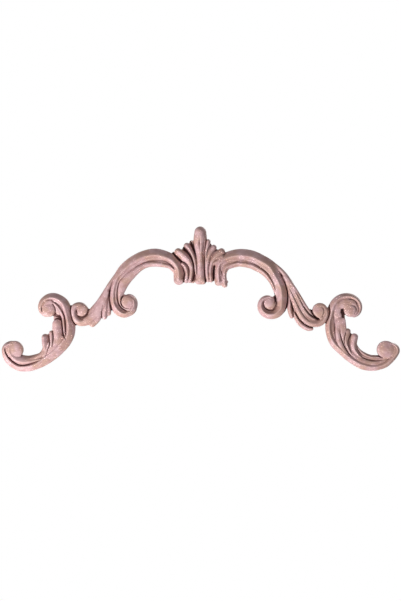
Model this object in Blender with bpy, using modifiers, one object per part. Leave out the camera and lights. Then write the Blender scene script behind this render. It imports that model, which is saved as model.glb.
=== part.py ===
"""Carved scroll applique: an arched pair of leafy scrolls under a small crest, flat at the back.

The carving is drawn on a board ruled in squares. x runs from the left end of the board, z up from
its lower edge, both in squares. Each stroke of the carving is a list of knots
(x, z, half width in squares, height above the back in millimetres), rounded over from its ridge
to its edges. The strokes are lofted, fused into one solid and cut flat at the back.
"""
import math

import bmesh
import bpy
from mathutils import Vector

WIDTH = 0.500                 # length of the carving from end to end
SQUARES_WIDE = 400
SQUARE = WIDTH / SQUARES_WIDE
MILLIMETRE = 0.001

MIRROR_X = 401.0              # a stroke of the right half at x is drawn at MIRROR_X - x
ORIGIN = (200.5, 110.0)       # square of the board that lies at the origin, behind the crest

BACK_DEPTH = 0.004            # the lofts run this far behind the back plane before the cut
STEP = 1.5                    # distance between two sections of a loft, in squares
ACROSS = 10                   # spans across a section
CURVE_SAMPLES = 16            # points on the curve between two knots
CAP_RINGS = 4                 # rings in the rounded end of a stroke
CAP_ANGLE = 80                # degrees from a stroke's last section to the tip of its end
BOSS_LENGTH = 0.2             # a boss is a stroke this short, nearly all of it rounded ends
BOSS_CROWN = 2.3
FUSE_SIZE = 0.0010
SMOOTH_PASSES = 2
KEEP_RATIO = 0.061            # share of the fused mesh's triangles that is kept

WOOD_COLOUR = (0.474, 0.292, 0.279, 1.0)
WOOD_ROUGHNESS = 0.55


def clear_scene():
    for item in list(bpy.data.objects):
        bpy.data.objects.remove(item, do_unlink=True)


def wood_material():
    material = bpy.data.materials.new("carved_wood")
    material.use_nodes = True
    shader = material.node_tree.nodes["Principled BSDF"]
    shader.inputs["Base Color"].default_value = WOOD_COLOUR
    shader.inputs["Roughness"].default_value = WOOD_ROUGHNESS
    shader.inputs["Metallic"].default_value = 0.0
    material.diffuse_color = WOOD_COLOUR
    return material


def stroke(*parts, edge=0.42, ridge=0.0, crown=2.0):
    """Knots in drawing order, from tuples and from curls, and the profile across the stroke.

    edge is the height at its sides as a share of the height at its ridge. ridge says where the
    ridge runs: -1 on the right side of the stroke as it is drawn, 0 in the middle, 1 on the left.
    crown is 2 for a round top, less for a sharper one and more for a flatter one.
    """
    knots = []
    for part in parts:
        knots += part if isinstance(part, list) else [part]
    return {"knots": knots, "edge": edge, "ridge": ridge, "crown": crown}


def curl(eye, radius, turn, half_width, height, bend=1.0, knot_angle=24.0):
    """Knots on a spiral about an eye: each pair of values runs from the first to the second."""
    count = max(3, round(abs(turn[1] - turn[0]) / knot_angle))
    knots = []
    for k in range(count + 1):
        t = k / count
        eased = t ** bend
        angle = math.radians(turn[0] + (turn[1] - turn[0]) * t)
        r = radius[0] + (radius[1] - radius[0]) * eased
        knots.append((
            eye[0] + r * math.cos(angle),
            eye[1] + r * math.sin(angle),
            half_width[0] + (half_width[1] - half_width[0]) * eased,
            height[0] + (height[1] - height[0]) * t,
        ))
    return knots


def boss(x, z, radius, height, edge=0.45):
    """A domed round eye."""
    ends = [(x - BOSS_LENGTH / 2, z, radius, height), (x + BOSS_LENGTH / 2, z, radius, height)]
    return stroke(ends, edge=edge, crown=BOSS_CROWN)


def ground(*knots):
    """Low flat wood that closes the bottom of a crease."""
    return stroke(*knots, edge=0.97)


def mirrored(strokes):
    for item in strokes:
        item["knots"] = [(MIRROR_X - x, z, w, h) for x, z, w, h in item["knots"]]
        item["ridge"] = -item["ridge"]
    return strokes


def left_arm():
    eye = (129.3, 69.0)
    body = stroke(
        (178.8, 92.3, 5.2, 7), (178.8, 100, 5.6, 7.5), (176.3, 104.9, 6.1, 8), (170, 111, 7.6, 8.5),
        (158, 114.3, 8.9, 9), (148, 113.7, 8.8, 9), (137, 109.3, 8.5, 9), (127, 101.1, 8.7, 9),
        (120.9, 92.5, 8.0, 8.8), (116.8, 80.8, 7.5, 8),
        curl(eye, (13.8, 8.0), (180, 320), (5.7, 1.0), (7.5, 6.5), bend=1.3), edge=0.5)
    outer_bead = stroke(
        (178.8, 92.5, 5.0, 9.6), (178.9, 100, 5.2, 10.4), (176.8, 106.2, 5.5, 11),
        (170.5, 112.8, 5.7, 11), (158, 117, 6.2, 11), (148, 116.4, 6.0, 11),
        (136.2, 111.9, 5.8, 11), (124.8, 103.3, 5.3, 10.8), (116.5, 94, 3.7, 10.2),
        (113.3, 83.5, 3.9, 10),
        curl(eye, (15.2, 8.4), (180, 320), (4.4, 1.6), (10, 9), bend=1.3), ridge=0.08, crown=1.8)
    inner_bead = stroke(
        (173.4, 102.5, 1.0, 8.4), (168, 106, 2.1, 9.2), (158, 108, 2.7, 9.6), (148, 107.6, 2.8, 9.6),
        (140, 104, 2.7, 9.6), (130.8, 97.2, 3.5, 9.8), (123.8, 90.3, 4.8, 9.8), (121, 82, 4.2, 9.8),
        (119.8, 75, 2.6, 9.4), (120.1, 69, 1.4, 8.8), (122, 65.6, 0.8, 7.5), edge=0.45)
    return [body, outer_bead, inner_bead, boss(129.2, 69.8, 8.6, 10.4),
            ground((125, 74, 4, 5), (125, 66, 4, 5), (133, 62, 4, 6))]


def right_arm():
    eye = (131.5, 67.5)
    body = stroke(
        (180.3, 92.8, 6.3, 7), (180.8, 99, 6.1, 7.5), (179.5, 106.5, 7.3, 8), (171.7, 111.9, 8.6, 8.5),
        (161, 114.3, 8.8, 9), (150.2, 112.8, 9.0, 9), (140.5, 108.8, 8.5, 9), (131.7, 101.6, 7.5, 9),
        (126.2, 94.2, 6.9, 9), (121.7, 85, 6.8, 8.6), (119.4, 77, 6.6, 8.2),
        curl(eye, (12.1, 6.4), (185, 490), (5.6, 1.2), (8, 7), bend=0.9), edge=0.5)
    outer_bead = stroke(
        (182.6, 89.8, 3.6, 9.6), (183.2, 98, 3.4, 10.4), (183, 104, 3.6, 10.6), (181, 109.5, 4.4, 10.6),
        (175.5, 114, 5.1, 10.8), (168, 116.3, 5.7, 11), (161, 117.1, 5.9, 11), (150.5, 115.9, 6.2, 11),
        (140.8, 111.8, 6.2, 11), (132.5, 104.8, 5.4, 11), (126, 97, 5.4, 11), (121.5, 88.5, 5.5, 11),
        (119, 80.5, 5.6, 10.8),
        curl(eye, (12.6, 6.6), (185, 490), (5.1, 1.4), (10.6, 9), bend=0.9), ridge=0.2, crown=1.8)
    inner_bead = stroke(
        (176.3, 87.2, 2.9, 9.4), (176.7, 94, 2.3, 9.8), (176.5, 100, 2.4, 10), (174, 105, 3.1, 10),
        (168, 107.6, 3.1, 9.8), (161, 108.4, 2.9, 9.6), (150.5, 106.7, 3.1, 9.6),
        (144.2, 103.8, 3.0, 9.6), (137.8, 99.8, 2.6, 9.6), (132.4, 93.8, 2.0, 9.4),
        (128.3, 87.2, 1.7, 9.2), (126, 81, 1.5, 9), (125.7, 76, 1.2, 8.2), edge=0.45)
    return mirrored([body, outer_bead, inner_bead, boss(174.3, 90.3, 1.7, 7.2),
                     boss(131.6, 67.6, 5.7, 10.4),
                     ground((126.4, 77, 1.6, 5), (126.6, 69, 2.4, 5), (131, 62, 3, 5)),
                     ground((132, 70, 6, 4.5), (133, 66, 6, 4.5))])


def left_small_scroll():
    eye = (80.0, 60.5)
    body = stroke(
        (113, 93, 1.5, 7), (106.9, 82.3, 2.6, 8), (104, 75.5, 3.9, 8.2), (100.8, 67.5, 5.8, 8.4),
        (96.6, 60.2, 7.2, 8.4), (91.2, 54.2, 6.4, 8.2), (85.5, 50.4, 4.2, 8), (80, 49.6, 3.7, 7.8),
        curl(eye, (9.6, 6.2), (245, 20), (3.6, 2.0), (7.8, 7), bend=0.7), edge=0.5)
    main_strand = stroke(
        (113, 94, 1.2, 7.5), (107.3, 83.5, 2.2, 8.8), (104, 75.5, 3.2, 9.6), (99.8, 67, 4.0, 10),
        (95.5, 60, 4.3, 10), (91, 54.3, 3.8, 9.6), (85.5, 50.6, 3.5, 9.4), (80, 49.6, 3.5, 9.4),
        curl(eye, (9.6, 6.3), (245, 20), (3.6, 2.1), (9.4, 8.6), bend=0.7))
    long_lobe = stroke(
        (103.8, 68, 1.6, 8.2), (101, 60, 2.6, 8.8), (97.3, 52.5, 3.2, 8.8), (92.3, 47.9, 3.1, 8.2))
    short_lobe = stroke(
        (108.2, 80, 0.9, 6.8), (107, 72, 1.8, 8.2), (105.6, 64, 2.6, 8.6), (104.2, 55.3, 2.8, 8.2))
    side_leaf = stroke((109.3, 76, 1.0, 6.2), (109, 67, 2.4, 6.8), (108, 58.6, 3.1, 6.4), edge=0.5)
    return [body, main_strand, long_lobe, short_lobe, side_leaf, boss(82, 60.6, 5.2, 9.8),
            ground((81.5, 60.6, 6.8, 4.5), (84, 58, 6.5, 4.5)),
            ground((109.6, 86, 1.2, 4.5), (109.6, 74, 2.2, 4.5), (109.6, 64, 3, 4.5)),
            ground((87, 61, 2.4, 4.5), (91.5, 60, 3, 4.5)),
            ground((71.5, 65, 1.8, 4.5), (71.8, 55, 1.8, 4.5), (75, 47.8, 1.6, 4.5))]


def right_small_scroll():
    body = stroke(
        (130.5, 109.5, 1.8, 7), (118.7, 98.2, 3.2, 7.6), (114, 90.5, 3.4, 8), (109.5, 82.5, 4.5, 8),
        (105.8, 74, 5.7, 8.2), (101.2, 65, 6.5, 8.2), (96, 57.6, 6.8, 8.2), (90.5, 51.6, 5.2, 8),
        (82.7, 48.9, 3.8, 7.8), (76.8, 52.5, 2.8, 7.5), (73.8, 60, 1.6, 7.2), (75.2, 66.5, 1.5, 7),
        edge=0.5)
    main_strand = stroke(
        (115, 88, 1.0, 8.2), (110, 78, 1.8, 9.4), (106.5, 70, 2.2, 9.8), (103.5, 63, 2.6, 10),
        (99.8, 56.3, 3.0, 10.2), (95, 51, 3.2, 10.2), (89, 48.3, 3.1, 9.8), (83, 48.3, 3.1, 9.6),
        (77.6, 51.2, 2.3, 9.2), (74.3, 56, 1.7, 9), (73.8, 61.5, 1.5, 8.8), (75.4, 66.4, 1.4, 8.4),
        (80, 69, 1.2, 8))
    middle_strand = stroke(
        (109, 87, 1.2, 8.8), (104, 76, 1.9, 9.6), (100, 68, 2.1, 9.6), (96.5, 61.5, 2.0, 9.4),
        (92, 55.5, 1.8, 9), (86.5, 52.3, 1.3, 8.4), edge=0.5)
    upper_strand = stroke(
        (130, 110, 1.6, 7.6), (121.2, 102.6, 1.9, 8), (114, 94, 2.2, 8.8), (107, 83.5, 2.1, 9),
        (101.2, 74.2, 2.0, 8.8), (96.8, 67.2, 1.9, 8.4), (92.8, 61.5, 1.8, 7.8),
        (88.8, 57, 1.3, 7.2), edge=0.5)
    lower_strand = stroke(
        (106.5, 61, 0.9, 7), (105.7, 56, 1.7, 8), (102.5, 50.5, 2.2, 8.4), (98, 46.2, 2.4, 8.4),
        (93, 43.5, 2.4, 8.2), (89.3, 43.2, 1.9, 7.8))
    side_leaf = stroke(
        (111, 76, 0.8, 7), (111.2, 69, 1.5, 8), (111.2, 63, 2.2, 8.4), (110, 58, 2.2, 8.2),
        (109.2, 55.3, 1.9, 8))
    return mirrored([body, main_strand, middle_strand, upper_strand, lower_strand, side_leaf,
                     boss(80.8, 61.6, 7.5, 9.2), boss(82.2, 61.2, 4.0, 10, edge=0.7),
                     ground((111.5, 84, 1.4, 5), (110, 68, 3, 5), (107.5, 58, 3.2, 5)),
                     ground((106, 58, 3, 5), (99, 49.5, 3, 5), (90.5, 46, 2.4, 5)),
                     ground((87, 57, 2.4, 4.5), (91, 60.6, 2.4, 4.5), (93, 62, 1.4, 4.5)),
                     ground((72, 66, 1.8, 4.5), (72.6, 56, 1.8, 4.5), (76, 48, 1.8, 4.5))])


def left_end_scroll():
    eye = (48.8, 61.9)
    tail_eye = (13.5, 21.8)
    band = stroke(
        (47, 74, 4.3, 7.6), (55.5, 73.2, 5.5, 8), (62.5, 68, 6.2, 8), (66, 61, 4.8, 8),
        (68.2, 54, 4.5, 8), (69, 46, 6.0, 8), (68.8, 38, 5.5, 8), (65.5, 32, 6.2, 8.2),
        (61, 27.4, 7.0, 8.4), (54, 20.7, 6.9, 8.4), (46.5, 15, 6.9, 8.4), (38.3, 11, 7.3, 8.2),
        (28, 8.4, 7.9, 8), (18.5, 9.8, 8.1, 8), (13, 14, 8.0, 7.6), edge=0.5)
    outer_bead = stroke(
        curl(eye, (6.4, 18.2), (240, 0), (1.4, 4.8), (8.6, 10.6), bend=1.25),
        (68.5, 54, 3.5, 10.6), (70.4, 46, 4.8, 10.8), (69.6, 38, 4.8, 10.8), (66.8, 32.5, 5.1, 10.6),
        (62, 26.2, 5.4, 10.4), (54.5, 18.7, 5.2, 10.2), (46, 12.8, 5.1, 10), (38, 7.5, 4.2, 9.8),
        (30, 4.6, 3.8, 9.6), (22, 3.9, 3.5, 9.5),
        curl(tail_eye, (16.8, 9.2), (279, 147), (2.9, 1.5), (9.4, 8.4), bend=0.6),
        ridge=-0.15, crown=1.9)
    back_bead = stroke(
        (54.5, 68.5, 1.0, 8), (57.8, 64.5, 2.3, 8), (60.5, 59.8, 2.8, 8), (63.3, 53.5, 1.7, 8.6),
        (64.2, 46, 1.5, 9), (64.5, 36.5, 1.2, 8.6), edge=0.45)
    leaf = stroke(
        (56.9, 47.8, 4.7, 9), (57.2, 40, 5.0, 9.8), (57.8, 32, 4.8, 10.2), (56.5, 24, 4.4, 10),
        (52, 17, 3.4, 9.2))
    tall_lobe = stroke(
        (51.2, 39.4, 2.1, 8.6), (51.6, 33, 2.2, 9.2), (51.5, 26, 2.0, 9.2), (49.5, 18.5, 1.8, 9))
    broad_lobe = stroke(
        (45, 34.6, 3.5, 8.8), (45.5, 29, 3.7, 9.2), (45.9, 22.5, 3.1, 9.2), (44, 16.5, 2.2, 8.8))
    tail_bead = stroke(
        (41, 13.8, 1.4, 8.6), (36, 12.4, 3.0, 9.2), (29.5, 11.6, 4.1, 9.6), (22, 11.4, 4.1, 9.6),
        (15.5, 13.5, 3.9, 9.8), (11.5, 18, 3.8, 9.8), edge=0.45, ridge=0.2)
    return [band, outer_bead, back_bead, leaf, tall_lobe, broad_lobe, tail_bead,
            boss(48.8, 61.9, 7.1, 10), boss(13.6, 22.0, 9.5, 10),
            ground((49, 62.5, 7.6, 4), (50, 64, 7.6, 4)),
            ground((57.5, 61, 4.2, 3), (58, 52, 4.6, 3), (60, 40, 3.8, 5)),
            ground((49, 36, 2.4, 5), (50, 24, 4.8, 6)),
            ground((43.2, 23, 1.9, 6), (40.4, 18.5, 2.6, 6), (36, 15.7, 2.8, 6), (30, 13.8, 2.6, 6))]


def right_end_scroll():
    eye = (50.7, 61.5)
    tail_eye = (14.4, 21.9)
    band = stroke(
        (54, 73.8, 5.2, 8), (62, 70, 5.6, 8), (67.2, 62, 4.6, 8), (69.8, 53, 4.5, 8),
        (69.8, 45, 5.7, 8), (68, 37, 5.9, 8), (62.5, 28.5, 6.8, 8.2), (54.5, 22, 7.8, 8.2),
        (47, 15.8, 7.4, 8.4), (38.5, 10.6, 7.8, 8.4), (30, 8.4, 7.4, 8.2), (21, 9, 7.6, 8),
        (14, 13, 8.4, 7.6), edge=0.5)
    outer_bead = stroke(
        curl(eye, (7.5, 17.6), (236, 5), (1.9, 4.7), (8.6, 10.6), bend=1.1),
        (69.6, 57, 3.8, 10.6), (71.4, 50.5, 3.5, 10.6), (71.6, 42, 3.5, 10.6), (69.8, 34.2, 3.6, 10.6),
        (65.7, 27.6, 4.1, 10.4), (58.9, 21.5, 4.3, 10.2), (51.9, 14.9, 4.1, 10), (44, 9.8, 4.2, 9.8),
        (36, 6.6, 4.7, 9.6), (28, 5.3, 4.3, 9.5),
        curl(tail_eye, (16.8, 9), (292, 124), (4.2, 2.0), (9.4, 8.4), bend=0.62),
        ridge=0.1, crown=1.9)
    outer_leaf = stroke(
        (63.8, 53.2, 2.4, 9.2), (64.5, 47, 2.4, 9.8), (64.2, 40, 2.6, 10), (62, 31, 2.6, 10.2),
        (58, 23, 2.4, 10.2), (53, 16.5, 1.6, 9.6))
    inner_leaf = stroke(
        (58.8, 50.8, 3.5, 8.4), (58.1, 46, 3.8, 8.8), (58, 41, 3.2, 8.8), (58.5, 35, 1.6, 8))
    tall_lobe = stroke(
        (53.2, 40.8, 2.9, 8.8), (54.2, 34, 2.7, 9.2), (54, 27, 2.2, 9.4), (51.3, 20, 1.9, 9.4),
        (46.5, 14, 1.4, 9))
    broad_lobe = stroke(
        (46.3, 35.2, 3.5, 9), (47.4, 29, 3.3, 9.4), (47, 23, 2.7, 9.4), (43, 17.5, 2.0, 9.2),
        (37, 13.5, 1.5, 9))
    rim_bead = stroke(
        (43.2, 24, 1.3, 7.6), (39, 19.3, 1.5, 8), (33, 15.8, 1.5, 8), (27, 14.4, 1.4, 8),
        (22, 14.8, 1.2, 8), edge=0.45)
    return mirrored([band, outer_bead, outer_leaf, inner_leaf, tall_lobe, broad_lobe, rim_bead,
                     boss(50.7, 61.5, 6.5, 9.8), boss(14.4, 22.0, 9.4, 9.6),
                     boss(15.2, 22.5, 4.2, 10.4, edge=0.7),
                     ground((49, 62.5, 7.6, 4), (51, 63, 7.6, 4)),
                     ground((61, 63, 4, 2.6), (60.5, 54, 4.6, 2.6)),
                     ground((60.5, 50, 4.5, 5), (59, 40, 4.8, 6)),
                     ground((52.5, 36, 4, 5.5), (52, 26, 6.4, 6.5)),
                     ground((47, 28, 2.6, 6), (43.5, 22.3, 2.4, 6), (38, 18, 2.4, 6),
                            (31, 14.8, 2.6, 6), (23, 14.2, 2.4, 6))])


def crest():
    stalk = stroke(
        (199.6, 92.3, 5.4, 11), (199.5, 99, 5.2, 11.8), (199.8, 107, 4.7, 12.2), (200, 114, 4.3, 12.4),
        (199.2, 121, 5.0, 12.6), (198.8, 127, 6.0, 12.8), (199.3, 131.5, 6.7, 13.2),
        (200.4, 135.6, 6.7, 14), (200.4, 139.7, 6.0, 12.2))
    left_lobes = [
        stroke((186.7, 126.2, 3.6, 10.6), (190.6, 120, 3.1, 11.2), (193.3, 113.5, 2.3, 11.2),
               (195, 106, 1.5, 10.8), edge=0.3),
        stroke((178.3, 120.2, 4.1, 10), (183.8, 115.5, 4.2, 11), (188.5, 109, 3.5, 11.3),
               (191, 102, 2.6, 11), (191.3, 96, 2.3, 10.6), (189.4, 91.4, 2.6, 9.8),
               edge=0.3, ridge=0.2),
        stroke((182.6, 108.3, 1.9, 9.4), (185.7, 103.6, 2.3, 10), (187.1, 98, 2.3, 10.2),
               (186.8, 91.6, 2.8, 9.6), edge=0.3),
    ]
    right_lobes = [
        stroke((208.6, 130.9, 2.2, 10.8), (207.3, 126, 2.5, 11.2), (205.8, 119.5, 2.1, 11.4),
               (205, 112, 1.5, 11.2), edge=0.35),
        stroke((213.9, 124.6, 2.8, 10.6), (210.6, 119.5, 3.4, 11.2), (208, 112.5, 3.0, 11.4),
               (206.8, 104, 2.5, 11), (206.9, 97, 2.5, 10.6), (208, 92, 2.5, 9.8), edge=0.35),
        stroke((221.6, 120.6, 3.5, 10.2), (216.5, 116, 4.0, 10.8), (212.3, 109.5, 3.1, 10.8),
               (210.6, 102, 2.0, 10.4), (210.8, 95.5, 2.0, 10), (211.6, 91.5, 2.0, 9.4), edge=0.35),
    ]
    bottoms_of_creases = [
        ground((186, 93, 3.6, 3.6), (182, 107, 4, 3.6), (178.5, 114, 4, 3.6), (174.6, 117.4, 3.2, 3.6)),
        ground((192.5, 92.2, 3.4, 3.6), (192, 110, 4, 3.6), (185.6, 122.4, 3.6, 3.6)),
        ground((191.6, 129.6, 2.2, 5), (193, 124, 2.8, 4.5), (195.5, 112, 3.4, 4)),
        ground((213.2, 94.4, 3.6, 4), (214, 106, 4, 4), (219, 114, 5, 5)),
        ground((205, 94, 3.6, 4), (207, 112, 4, 6), (208.5, 126, 3.4, 6)),
        ground((209, 95, 4.2, 5), (210.5, 116, 5, 6), (216, 118.5, 4.4, 6)),
    ]
    return [stalk] + left_lobes + right_lobes + bottoms_of_creases


def smooth_knots(knots):
    """Catmull-Rom curve through the knots, sampled at an even distance along its length."""
    fine = []
    padded = [knots[0]] + list(knots) + [knots[-1]]
    for a, b, c, d in zip(padded, padded[1:], padded[2:], padded[3:]):
        for k in range(CURVE_SAMPLES):
            t = k / CURVE_SAMPLES
            fine.append([
                0.5 * (2 * q + (r - p) * t + (2 * p - 5 * q + 4 * r - s) * t * t
                       + (3 * q - p - 3 * r + s) * t ** 3)
                for p, q, r, s in zip(a, b, c, d)])
    fine.append(list(knots[-1]))
    lengths = [0.0]
    for first, second in zip(fine, fine[1:]):
        lengths.append(lengths[-1] + math.dist(first[:2], second[:2]))
    count = max(2, round(lengths[-1] / STEP) + 1)
    samples = []
    place = 0
    for k in range(count):
        target = lengths[-1] * k / (count - 1)
        while place < len(fine) - 2 and lengths[place + 1] < target:
            place += 1
        span = lengths[place + 1] - lengths[place]
        t = (target - lengths[place]) / span if span else 0.0
        samples.append([p + (q - p) * t for p, q in zip(fine[place], fine[place + 1])])
    return samples


def section(item, centre, side, chord, over, half_width, height):
    """One section: up one wall, over the rounded top and down the other wall, as board points."""
    points = []
    for k in range(ACROSS + 1):
        s = -math.cos(math.pi * k / ACROSS)
        ridge = item["ridge"]
        from_ridge = (s - ridge) / (1 - ridge) if s > ridge else (ridge - s) / (1 + ridge)
        r = min(1.0, math.hypot(from_ridge * chord, over))
        swell = math.sqrt(max(0.0, 1 - r ** item["crown"]))
        top = height * (item["edge"] + (1 - item["edge"]) * swell)
        across = s * chord * half_width
        points.append((centre[0] + side[0] * across, centre[1] + side[1] * across, top))
    back = BACK_DEPTH / MILLIMETRE
    first = points[0]
    last = points[-1]
    return [(first[0], first[1], -back)] + points + [(last[0], last[1], -back)]


def board_point(x, z, height):
    return Vector(((x - ORIGIN[0]) * SQUARE, -height * MILLIMETRE, (z - ORIGIN[1]) * SQUARE))


def sections(item):
    samples = smooth_knots(item["knots"])
    rings = []
    last = len(samples) - 1
    for k, (x, z, half_width, height) in enumerate(samples):
        before = samples[max(k - 1, 0)]
        after = samples[min(k + 1, last)]
        along = Vector((after[0] - before[0], after[1] - before[1])).normalized()
        side = (-along.y, along.x)
        cap = [math.sin(math.radians(CAP_ANGLE * j / CAP_RINGS)) for j in range(1, CAP_RINGS + 1)]
        overs = [0.0]
        if k == 0:
            overs = [-over for over in reversed(cap)] + overs
        if k == last:
            overs = overs + cap
        for over in overs:
            chord = math.sqrt(1 - over * over)
            centre = (x + along.x * over * half_width, z + along.y * over * half_width)
            rings.append(section(item, centre, side, chord, abs(over), half_width, height))
    return rings


def loft(bm, item):
    rings = [[bm.verts.new(board_point(*point)) for point in ring] for ring in sections(item)]
    for ring, following in zip(rings, rings[1:]):
        for k in range(len(ring)):
            j = (k + 1) % len(ring)
            bm.faces.new((ring[k], ring[j], following[j], following[k]))
    bm.faces.new(list(reversed(rings[0])))
    bm.faces.new(rings[-1])


def carving(strokes, collection):
    bm = bmesh.new()
    for item in strokes:
        loft(bm, item)
    bmesh.ops.recalc_face_normals(bm, faces=bm.faces)
    mesh = bpy.data.meshes.new("applique")
    bm.to_mesh(mesh)
    bm.free()
    item = bpy.data.objects.new("applique", mesh)
    collection.objects.link(item)
    return item


def back_cutter(collection):
    """Everything behind the plane y = 0, for the flat back."""
    bm = bmesh.new()
    bmesh.ops.create_cube(bm, size=1.0)
    mesh = bpy.data.meshes.new("back_cutter")
    bm.to_mesh(mesh)
    bm.free()
    cutter = bpy.data.objects.new("back_cutter", mesh)
    cutter.location = (0.0, 0.5, 0.0)
    cutter.hide_render = True
    cutter.display_type = "WIRE"
    collection.objects.link(cutter)
    return cutter


def fuse(item, cutter):
    remesh = item.modifiers.new("fuse", "REMESH")
    remesh.mode = "VOXEL"
    remesh.voxel_size = FUSE_SIZE
    remesh.adaptivity = 0.0
    soften = item.modifiers.new("soften", "SMOOTH")
    soften.factor = 0.5
    soften.iterations = SMOOTH_PASSES
    thin = item.modifiers.new("thin", "DECIMATE")
    thin.ratio = KEEP_RATIO
    cut = item.modifiers.new("flat_back", "BOOLEAN")
    cut.operation = "DIFFERENCE"
    cut.solver = "EXACT"
    cut.object = cutter


def main():
    clear_scene()
    parts = bpy.data.collections.new("scroll_applique")
    cutters = bpy.data.collections.new("cutters")
    bpy.context.scene.collection.children.link(parts)
    bpy.context.scene.collection.children.link(cutters)
    strokes = left_arm() + right_arm() + left_small_scroll() + right_small_scroll()
    strokes += left_end_scroll() + right_end_scroll() + crest()
    applique = carving(strokes, parts)
    applique.data.materials.append(wood_material())
    applique.data.shade_smooth()
    fuse(applique, back_cutter(cutters))


main()
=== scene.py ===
import math

import bmesh
import bpy
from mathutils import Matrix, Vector


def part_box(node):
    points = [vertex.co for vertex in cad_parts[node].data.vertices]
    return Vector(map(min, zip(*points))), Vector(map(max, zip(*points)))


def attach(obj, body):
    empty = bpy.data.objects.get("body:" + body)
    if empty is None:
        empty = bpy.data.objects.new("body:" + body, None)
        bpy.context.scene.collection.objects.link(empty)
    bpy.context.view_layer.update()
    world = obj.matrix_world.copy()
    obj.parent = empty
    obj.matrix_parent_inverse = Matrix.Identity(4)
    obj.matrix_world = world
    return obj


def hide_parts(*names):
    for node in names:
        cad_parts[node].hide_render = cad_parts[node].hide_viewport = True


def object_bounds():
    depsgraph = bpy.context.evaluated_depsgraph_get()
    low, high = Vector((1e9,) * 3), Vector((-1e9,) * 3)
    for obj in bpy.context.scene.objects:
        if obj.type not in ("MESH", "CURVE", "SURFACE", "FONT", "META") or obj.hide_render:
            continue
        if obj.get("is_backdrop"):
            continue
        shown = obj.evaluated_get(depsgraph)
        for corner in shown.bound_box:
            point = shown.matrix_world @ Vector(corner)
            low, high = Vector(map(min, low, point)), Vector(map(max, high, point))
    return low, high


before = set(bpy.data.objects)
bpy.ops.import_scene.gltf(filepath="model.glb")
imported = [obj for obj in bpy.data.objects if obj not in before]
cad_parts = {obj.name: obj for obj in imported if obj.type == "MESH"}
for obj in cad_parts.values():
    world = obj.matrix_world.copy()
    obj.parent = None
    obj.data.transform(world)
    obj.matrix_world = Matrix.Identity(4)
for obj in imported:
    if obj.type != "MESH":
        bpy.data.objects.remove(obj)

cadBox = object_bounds()
millimetre = 0.001

# The carving is drawn on a board ruled in squares: x from its left end, z up from its lower edge.
# A stroke's path is a list of knots: (x, z, half width in squares, height above the back in mm).
board = {
    "square": 0.00125,
    "origin": (200.5, 110.0),   # the square behind the crest that lies at the origin
    "mirrorX": 401.0,           # the right half is drawn from its own end, at mirrorX - x
    "knotAngle": 24.0,          # degrees from one knot of a spiral to the next
    "fewestKnots": 3,
}

plainStroke = {       # what a stroke has where its own entry says nothing else
    "edge": 0.35,     # how high its sides stand, as a share of its height
    "ridge": 0.0,     # where its crest line runs across it, from -1 to 1
    "crown": 1.5,     # more keeps its top level further out
    "bulge": 0.75,    # less gives it fuller shoulders
}
domed = {"crown": 2.2, "bulge": 0.65}
level = {"edge": 0.97}


def spiral(eye, radius, turn, halfWidth, height, bend=1.0):
    knots = max(board["fewestKnots"], round(abs(turn[1] - turn[0]) / board["knotAngle"]))
    path = []
    for k in range(knots + 1):
        t = k / knots
        eased = t ** bend
        angle = math.radians(turn[0] + (turn[1] - turn[0]) * t)
        r = radius[0] + (radius[1] - radius[0]) * eased
        path.append((eye[0] + r * math.cos(angle), eye[1] + r * math.sin(angle),
                     halfWidth[0] + (halfWidth[1] - halfWidth[0]) * eased,
                     height[0] + (height[1] - height[0]) * t))
    return path


def boss(x, z, radius, height, edge=0.62):   # a domed round eye: a stroke with one knot
    return {"path": [(x, z, radius, height)], "edge": edge, **domed}


def floorOf(*path):   # low flat wood that closes the bottom of a crease
    return {"path": list(path), **level}


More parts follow.
